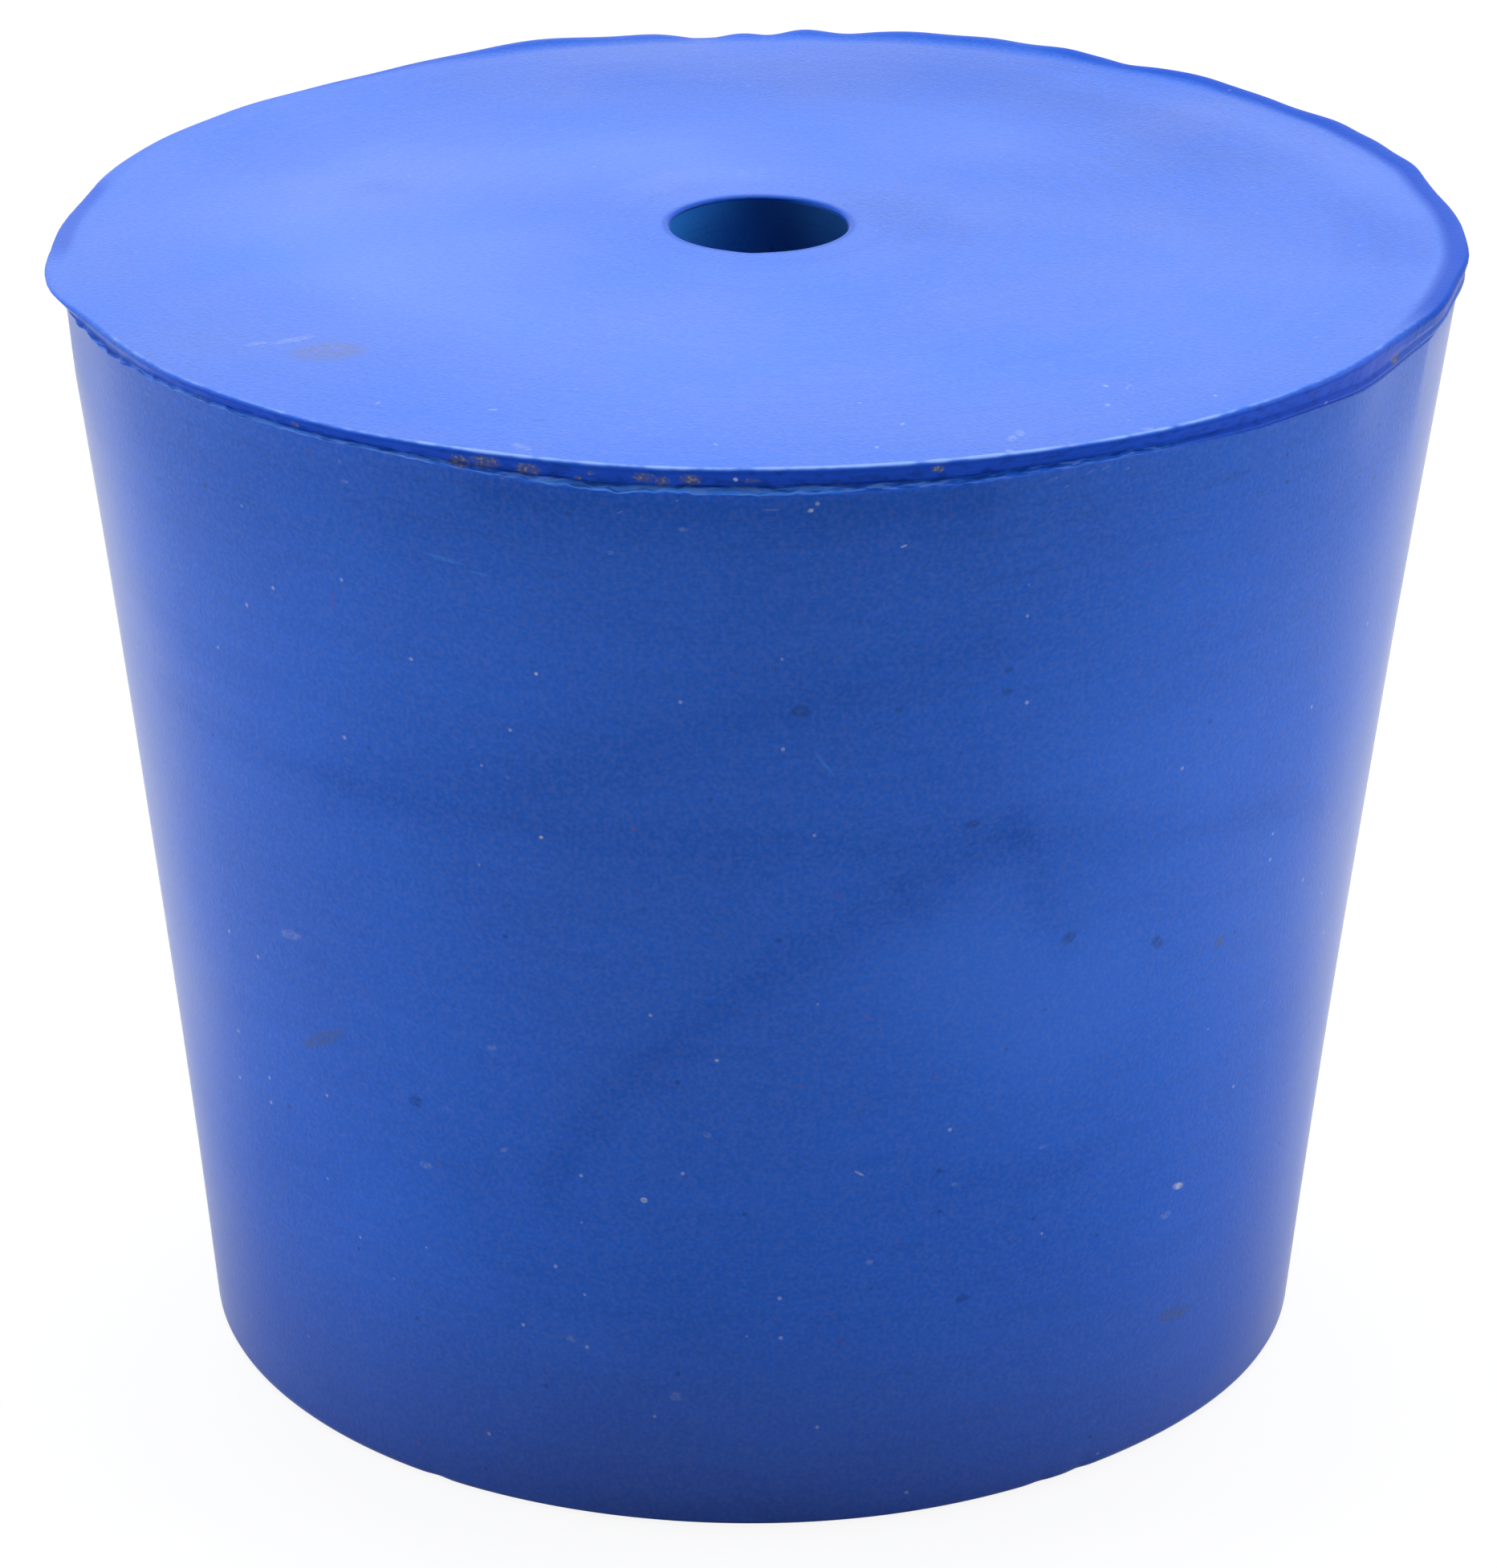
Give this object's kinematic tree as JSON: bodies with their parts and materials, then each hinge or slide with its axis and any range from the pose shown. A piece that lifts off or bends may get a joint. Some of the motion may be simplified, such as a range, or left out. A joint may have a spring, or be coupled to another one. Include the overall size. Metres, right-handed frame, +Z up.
{
  "type": "rubber stopper",
  "caption": "Tapered blue rubber stopper with a straight hole through it for a glass tube, and a thin wavy rim of moulding flash round its top edge.",
  "frame": {"origin": "centre of the hole on the base plane", "axes": "+Z up along the hole, from the narrow base to the wide top; the plug's own axis lies 0.5 mm towards -Y"},
  "size_m": [0.0358, 0.0353, 0.0292],
  "materials": {
    "rubber": "moulded natural rubber, semi-matt"
  },
  "bodies": {
    "root": {"stopper": "rubber"}
  },
  "joints": []
}
